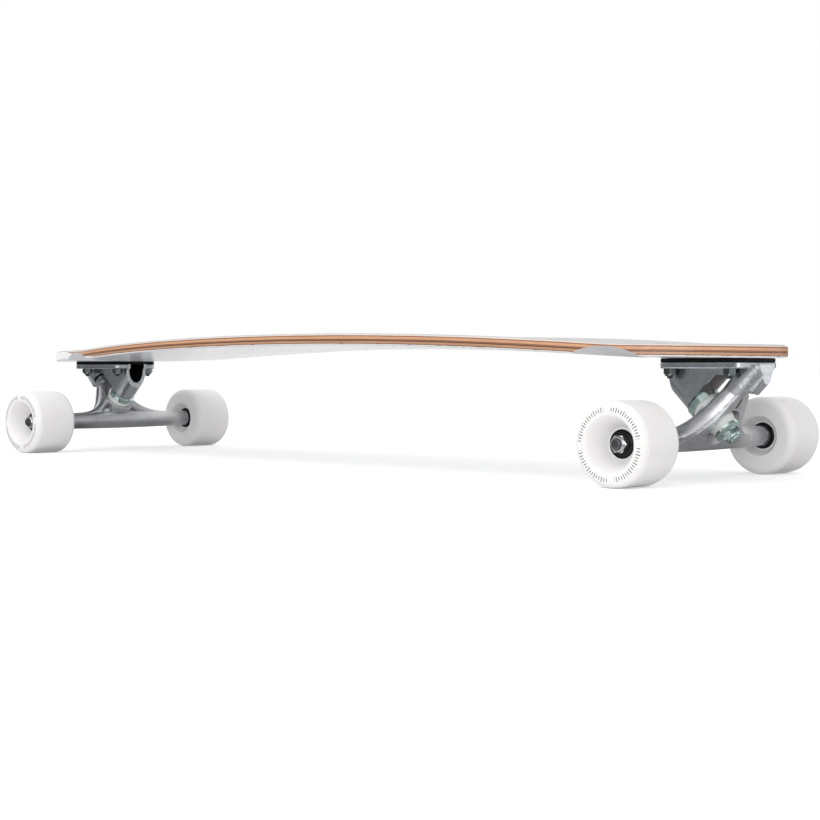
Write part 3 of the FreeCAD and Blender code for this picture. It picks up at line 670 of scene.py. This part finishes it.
class LONGBOARD_OT_hardware(bpy.types.Operator):
    """Gives nuts, washers, kingpins and axles their plating"""

    bl_idname = "longboard.hardware"
    bl_label = "Hardware"

    def execute(self, context):
        looks = context.scene.longboard_trucks
        zinc = plated("zinc_plate", looks.zinc, roughness=0.13)
        bright = plated("bright_steel", looks.bright_steel, roughness=0.2)
        dark = plated("dark_steel", looks.dark_steel, roughness=0.3)
        black = plated("black_steel", looks.black_steel, roughness=0.16)
        for truck in TRUCKS:
            zinc_pieces = ("kingpin", "kingpin_nut", "boardside_washer", "roadside_washer")
            dress([f"{truck}_{piece}" for piece in zinc_pieces], zinc)
            dress([truck + "_axle"], dark)
            dress([truck + "_deck_nuts"], black)
            for hand in HANDS:
                dress([f"{truck}_{hand}_axle_nut"], bright)
                dress([f"{truck}_{hand}_speed_rings", f"{truck}_{hand}_bearing_spacer"], dark)
        return {"FINISHED"}


class LONGBOARD_OT_bolts(bpy.types.Operator):
    """Makes the deck bolts with their sockets and threads"""

    bl_idname = "longboard.bolts"
    bl_label = "Deck bolts"

    def execute(self, context):
        looks = context.scene.longboard_trucks
        head, shank, deep = looks.bolt_head, looks.bolt_shank, looks.thread_depth
        edge = 0.1 * head

        def socket(angle):
            return looks.socket / math.cos(angle % (math.pi / 3) - math.pi / 6)

        def mouth(angle):
            return socket(angle) + edge / 2

        for truck in TRUCKS:
            low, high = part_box(truck + "_deck_bolts")
            rim = high.z - edge / 2
            start = low.z + looks.bolt_thread
            profile = [(socket, high.z - looks.socket_depth), (socket, rim), (mouth, high.z),
                       (head - edge, high.z), (head, rim), (shank, rim - head + shank), (shank, start),
                       *thread(shank - deep, deep, looks.pitch, start, low.z + edge),
                       (shank - 2 * edge, low.z)]
            spots = [Vector((x, y, 0)) for x in (low.x + head, high.x - head)
                     for y in (low.y + head, high.y - head)]
            made = skin(truck + "_socket_bolts", [turned(spot, UP, profile, BOLT_SIDES) for spot in spots],
                        "dark_steel")
            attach(made, "board")
            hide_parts(truck + "_deck_bolts")
        return {"FINISHED"}


def threaded_end(looks, name, centre, axis, radius, nut, tip, finish, body):
    """Adds a thread from inside a nut to a tip, and the ring that locks the nut."""
    deep = looks.thread_depth
    start, end = nut - 2 * looks.pitch, tip - looks.pitch / 2
    profile = [(radius - 2 * deep, start), *thread(radius - deep / 2, deep, looks.pitch, start, end),
               (radius - deep, end + deep), (radius - 4 * deep, tip + deep / 3)]
    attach(skin(name + "_thread", [turned(centre, axis, profile)], finish), body)
    inner, outer = radius + 0.4 * deep, radius + 2.6 * deep
    low, shoulder, high = nut - deep, nut + deep / 3, nut + deep / 2
    ring = [(inner, low), (outer, low), (outer, shoulder), (outer - deep / 2, high),
            (inner + deep / 2, high), (inner, shoulder)]
    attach(skin(name + "_lock_ring", [turned(centre, axis, ring)], "lock_nylon", True),
            body)


class LONGBOARD_OT_threads(bpy.types.Operator):
    """Makes the threads on axles and kingpins, and the locking rings of their nuts"""

    bl_idname = "longboard.threads"
    bl_label = "Threads"

    def execute(self, context):
        looks = context.scene.longboard_trucks
        moulded("lock_nylon", looks.nylon, roughness=0.4)
        for truck in TRUCKS:
            low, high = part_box(truck + "_axle")
            middle = (low + high) / 2
            radius = (high.z - low.z) / 2
            for hand, way in zip(HANDS, (1, -1)):
                axis = Vector((0, way, 0))
                nut = reach(f"{truck}_{hand}_axle_nut", middle, axis)[1]
                threaded_end(looks, f"{truck}_{hand}_axle", middle, axis, radius, nut, high.y - middle.y,
                             "dark_steel", truck + "_hanger_body")
            centre, kingpin, _ = steering(truck)
            tip = reach(truck + "_kingpin", centre, -kingpin)[1]
            nut = reach(truck + "_kingpin_nut", centre, -kingpin)[1]
            radius = reach(truck + "_boardside_bushing", centre, kingpin)[2] - looks.thread_depth
            threaded_end(looks, truck + "_kingpin", centre, -kingpin, radius, nut, tip,
                         "zinc_plate", "board")
        return {"FINISHED"}


class LONGBOARD_OT_bushings(bpy.types.Operator):
    """Makes the bushings that sit between the board and the hangers"""

    bl_idname = "longboard.bushings"
    bl_label = "Bushings"

    def execute(self, context):
        looks = context.scene.longboard_trucks
        moulded("bushing_urethane", looks.bushing, roughness=0.38, mottle=0.1, subsurface_weight=0.3,
                subsurface_scale=0.004, subsurface_radius=(1, 0.9, 0.8), coat_weight=0.4)
        for truck in TRUCKS:
            centre, kingpin, _ = steering(truck)
            for piece, way in (("boardside_bushing", kingpin), ("roadside_bushing", -kingpin)):
                seat, far, hole, _ = reach(f"{truck}_{piece}", centre, way)
                side = outline(f"{truck}_{piece}", centre, way)
                profile = soften([(hole, seat), *side, (hole, far)], looks.edge)
                made = skin(f"{truck}_poured_{piece}", [turned(centre, way, profile, BUSHING_SIDES)],
                            "bushing_urethane", True)
                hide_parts(f"{truck}_{piece}")
                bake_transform(made)
        return {"FINISHED"}


def pad_rings(looks, low, high):
    """Rings of a slab with round corners and soft edges, from its underside up."""
    edge = looks.edge
    bevel, bulge = 0.3 * edge, 0.2 * edge
    middle = (low + high) / 2
    rings = []
    for inset, height in ((edge, low.z), (bevel, low.z + bevel), (0, low.z + edge), (-bulge, middle.z),
                          (0, high.z - edge), (bevel, high.z - bevel), (edge, high.z)):
        ring = []
        corners = ((high.x, high.y), (low.x, high.y), (low.x, low.y), (high.x, low.y))
        for quarter, (x, y) in enumerate(corners):
            pivot = Vector((x - math.copysign(looks.corner, x - middle.x),
                            y - math.copysign(looks.corner, y - middle.y), height))
            for step in range(CORNER_STEPS + 1):
                angle = math.pi / 2 * (quarter + step / CORNER_STEPS)
                way = Vector((math.cos(angle), math.sin(angle), 0))
                ring.append(pivot + way * (looks.corner - inset))
        rings.append(ring)
    return rings


def cup_profile(looks, mouth, bottom, hollow, outside):
    """Profile of a pivot cup from its closed end, round its mouth and down its round-ended hollow."""
    edge = looks.edge / 2
    ball = bottom - 0.6 * (outside - hollow)
    profile = [(edge, bottom), (outside - edge, bottom), (outside, bottom - edge), (outside, mouth + edge),
               (outside - edge, mouth), (hollow + edge, mouth), (hollow, mouth + edge)]
    for step in range(CUP_STEPS):
        turn = math.pi / 2 * step / (CUP_STEPS - 0.5)
        profile.append((hollow * math.cos(turn), ball - hollow * (1 - math.sin(turn))))
    return profile


class LONGBOARD_OT_pads(bpy.types.Operator):
    """Makes the riser pads and pivot cups in black rubber"""

    bl_idname = "longboard.pads"
    bl_label = "Pads and cups"

    def execute(self, context):
        looks = context.scene.longboard_trucks
        moulded("black_rubber", looks.rubber, roughness=0.6, specular_ior_level=0.2)
        for truck in TRUCKS:
            rings = pad_rings(looks, *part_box(truck + "_riser_pad"))
            made = skin(truck + "_soft_pad", [rings], "black_rubber")
            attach(made, "board")
            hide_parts(truck + "_riser_pad")
            centre, _, pivot = steering(truck)
            profile = cup_profile(looks, *reach(truck + "_pivot_cup", centre, pivot))
            made = skin(truck + "_soft_cup", [turned(centre, pivot, profile)], "black_rubber")
            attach(made, "board")
            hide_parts(truck + "_pivot_cup")
        return {"FINISHED"}


def print_mask(tree, looks, axle, face):
    """Mask of a printed ring of plain ticks on the outer faces of the wheels on one axle."""
    x, y, z = split(tree, place_from(tree, axle))
    radius = sum_up(tree, "SQRT", sum_up(tree, "ADD", squared(tree, x), squared(tree, z)))
    turn = sum_up(tree, "ADD", sum_up(tree, "DIVIDE", sum_up(tree, "ARCTAN2", z, x), math.tau), 0.5)
    cell = sum_up(tree, "MULTIPLY", turn, looks.ticks)
    share = looks.tick_width * looks.ticks / (math.tau * looks.print_radius)
    stroke = sum_up(tree, "LESS_THAN", sum_up(tree, "FRACT", cell), share)
    rank = sum_up(tree, "FRACT", sum_up(tree, "MULTIPLY", sum_up(tree, "FLOOR", cell), 1 / TALL_EVERY))
    tall = sum_up(tree, "LESS_THAN", rank, 0.5 / TALL_EVERY)
    half = sum_up(tree, "MULTIPLY_ADD", tall, looks.print_width / 6, looks.print_width / 3)
    off = sum_up(tree, "ABSOLUTE", sum_up(tree, "SUBTRACT", radius, looks.print_radius))
    ring = sum_up(tree, "LESS_THAN", off, half)
    stretch = sum_up(tree, "FRACT", sum_up(tree, "MULTIPLY", turn, PRINT_BREAKS))
    kept = sum_up(tree, "GREATER_THAN", stretch, BREAK_SHARE)
    outside = sum_up(tree, "GREATER_THAN", sum_up(tree, "ABSOLUTE", y), face)
    return all_of(tree, stroke, ring, kept, outside)


class LONGBOARD_OT_wheels(bpy.types.Operator):
    """Gives the wheels their poured urethane and a plain printed ring"""

    bl_idname = "longboard.wheels"
    bl_label = "Wheels"

    def execute(self, context):
        looks = context.scene.longboard_wheels
        for truck in TRUCKS:
            low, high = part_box(truck + "_left_wheel")
            middle = (low + high) / 2
            made, tree, shader = material("poured_urethane_" + truck, subsurface_weight=0.45,
                                          subsurface_scale=0.006, subsurface_radius=(1, 0.9, 0.8),
                                          coat_weight=0.06)
            poured = grained(tree, looks.urethane, mottle=0.06, roughness=0.38, spread=0.14, patch_scale=40,
                             grain_scale=1100)
            mask = print_mask(tree, looks, (middle.x, 0, middle.z), high.y - looks.print_margin)
            surface(tree, shader, blend(tree, mask, poured["Colour"], looks.ink), poured["Roughness"])
            bump(tree, shader, poured["Height"], distance=0.00008, strength=0.4)
            dress([f"{truck}_{hand}_wheel" for hand in HANDS], made)
        return {"FINISHED"}


class LONGBOARD_OT_bearings(bpy.types.Operator):
    """Gives the bearings their steel and rubber shields"""

    bl_idname = "longboard.bearings"
    bl_label = "Bearings"

    def execute(self, context):
        looks = context.scene.longboard_wheels
        race = plated("ground_steel", looks.race, roughness=0.2)
        outer = plated("blackened_steel", looks.blackened, roughness=0.3)
        shield = moulded("bearing_shield", looks.shield, roughness=0.42)
        for truck in TRUCKS:
            for hand in HANDS:
                bearing = f"{truck}_{hand}_bearing_"
                dress([bearing + "inner_rings", bearing + "balls"], race)
                dress([bearing + "outer_rings"], outer)
                dress([bearing + "shields"], shield)
        return {"FINISHED"}


def aim(obj, target):
    """Turns a lamp, card or camera towards a point."""
    obj.rotation_euler = (Vector(target) - obj.location).to_track_quat("-Z", "Y").to_euler()


def lamp(name, at, target, size, power):
    """A square soft lamp that shines at a point."""
    light = bpy.data.lights.new(name, "AREA")
    light.energy = power
    light.size = size
    made = bpy.data.objects.new(name, light)
    made.location = at
    bpy.context.scene.collection.objects.link(made)
    aim(made, target)


def plane(name, at, width, depth, made):
    """A flat piece of the stage."""
    mesh = bpy.data.meshes.new(name)
    corners = [(x * width / 2, y * depth / 2, 0) for x, y in ((-1, -1), (1, -1), (1, 1), (-1, 1))]
    mesh.from_pydata(corners, [], [(0, 1, 2, 3)])
    mesh.materials.append(made)
    flat = bpy.data.objects.new(name, mesh)
    flat.location = at
    bpy.context.scene.collection.objects.link(flat)
    return flat


def felt(name, tint):
    """Dull cloth for a card."""
    made, tree, shader = material(name, roughness=1, specular_ior_level=0)
    tree.links.new(blend(tree, noise(tree, scale=4), tint, scaled(tint, 0.7)), shader.inputs["Base Color"])
    return made


def reflected_only(obj):
    """Leaves an object to reflections: it is not seen, and takes no light from anything."""
    for ray in ("camera", "diffuse", "transmission", "volume_scatter", "shadow"):
        setattr(obj, "visible_" + ray, False)


def seen(tree):
    """1 for rays that show the background: from the camera, or by way of metal and glass."""
    path = add(tree, "ShaderNodeLightPath")
    shown = sum_up(tree, "MAXIMUM", path.outputs["Is Camera Ray"], path.outputs["Is Glossy Ray"])
    return sum_up(tree, "MAXIMUM", shown, path.outputs["Is Transmission Ray"])


def lay_floor(looks):
    """Lays the pale floor, which is lifted to white where it is seen but keeps the board's shadow."""
    made, tree, shader = material("pale_floor", roughness=0.9, specular_ior_level=0)
    cloud = sum_up(tree, "MULTIPLY", noise(tree, scale=3), 0.03)
    tint = blend(tree, cloud, looks.floor, scaled(looks.floor, 0.93))
    tree.links.new(tint, shader.inputs["Base Color"])
    glow = add(tree, "ShaderNodeEmission", {
        "Color": WHITE, "Strength": sum_up(tree, "MULTIPLY", seen(tree), looks.glow)})
    both = add(tree, "ShaderNodeAddShader", {0: shader.outputs[0], 1: glow.outputs[0]})
    tree.links.new(both.outputs[0], tree.nodes["Material Output"].inputs["Surface"])
    plane("floor", (0, 0, 0), width=30, depth=30, made=made)


def surround(scene, looks):
    """Puts an even light all round, which is white where it is seen."""
    world = bpy.data.worlds.new("studio")
    world.use_nodes = True
    scene.world = world
    tree = world.node_tree
    sky = tree.nodes["Background"]
    sky.inputs["Color"].default_value = WHITE
    strength = sum_up(tree, "MULTIPLY_ADD", seen(tree), 1 - looks.sky, looks.sky)
    tree.links.new(strength, sky.inputs["Strength"])


def set_camera(scene, looks):
    """Sets the camera up at its place, turned and tilted."""
    lens = bpy.data.cameras.new("camera")
    lens.lens = looks.focal_length
    lens.sensor_width = SENSOR_WIDTH
    camera = bpy.data.objects.new("camera", lens)
    camera.location = looks.camera
    scene.collection.objects.link(camera)
    level = math.cos(looks.pitch)
    ahead = Vector((-math.sin(looks.azimuth) * level, math.cos(looks.azimuth) * level,
                    math.sin(looks.pitch)))
    aim(camera, camera.location + ahead)
    scene.camera = camera


class LONGBOARD_OT_stage(bpy.types.Operator):
    """Adds the pale floor, soft light, white surroundings, dark cards and camera"""

    bl_idname = "longboard.stage"
    bl_label = "Stage"

    def execute(self, context):
        looks = context.scene.longboard_stage
        scene = context.scene
        lay_floor(looks)
        surround(scene, looks)
        for name, (at, width, depth, target, tint) in CARDS.items():
            card = plane(name, at, width, depth, felt(name, getattr(looks, tint)))
            if target:
                aim(card, target)
            reflected_only(card)
        lamp("key", (-0.3, -0.7, 1.7), target=(0, 0, 0.05), size=1.6, power=looks.key_power)
        lamp("fill", (1.3, -2.0, 0.5), target=(0.1, 0, 0.06), size=1.2, power=looks.fill_power)
        set_camera(scene, looks)
        scene.view_settings.view_transform = "Standard"
        return {"FINISHED"}


OPERATORS = (LONGBOARD_OT_deck, LONGBOARD_OT_grip, LONGBOARD_OT_castings, LONGBOARD_OT_hardware,
             LONGBOARD_OT_bolts, LONGBOARD_OT_threads, LONGBOARD_OT_bushings, LONGBOARD_OT_pads,
             LONGBOARD_OT_wheels, LONGBOARD_OT_bearings, LONGBOARD_OT_stage)


class LONGBOARD_PT_looks(bpy.types.Panel):
    """Lists the longboard's finishes and the steps that apply them"""

    bl_idname = "LONGBOARD_PT_looks"
    bl_label = "Longboard"
    bl_space_type = "VIEW_3D"
    bl_region_type = "UI"
    bl_category = "Longboard"

    def draw(self, context):
        for operator in OPERATORS:
            self.layout.operator(operator.bl_idname)
        for name, looks in LOOKS.items():
            box = self.layout.box()
            box.label(text=looks.__doc__)
            for key in looks.__annotations__:
                box.prop(getattr(context.scene, name), key)


def register():
    """Makes the looks, steps and panel known to Blender."""
    for name, looks in LOOKS.items():
        bpy.utils.register_class(looks)
        setattr(bpy.types.Scene, name, PointerProperty(type=looks))
    for made in (*OPERATORS, LONGBOARD_PT_looks):
        bpy.utils.register_class(made)


def unregister():
    """Takes the looks, steps and panel away again."""
    for made in (LONGBOARD_PT_looks, *reversed(OPERATORS)):
        bpy.utils.unregister_class(made)
    for name, looks in LOOKS.items():
        delattr(bpy.types.Scene, name)
        bpy.utils.unregister_class(looks)


def main():
    """Dresses the board and sets the stage."""
    register()
    grain_group()
    wear_group()
    for operator in OPERATORS:
        family, step = operator.bl_idname.split(".")
        getattr(getattr(bpy.ops, family), step)()


if __name__ == "__main__":
    main()
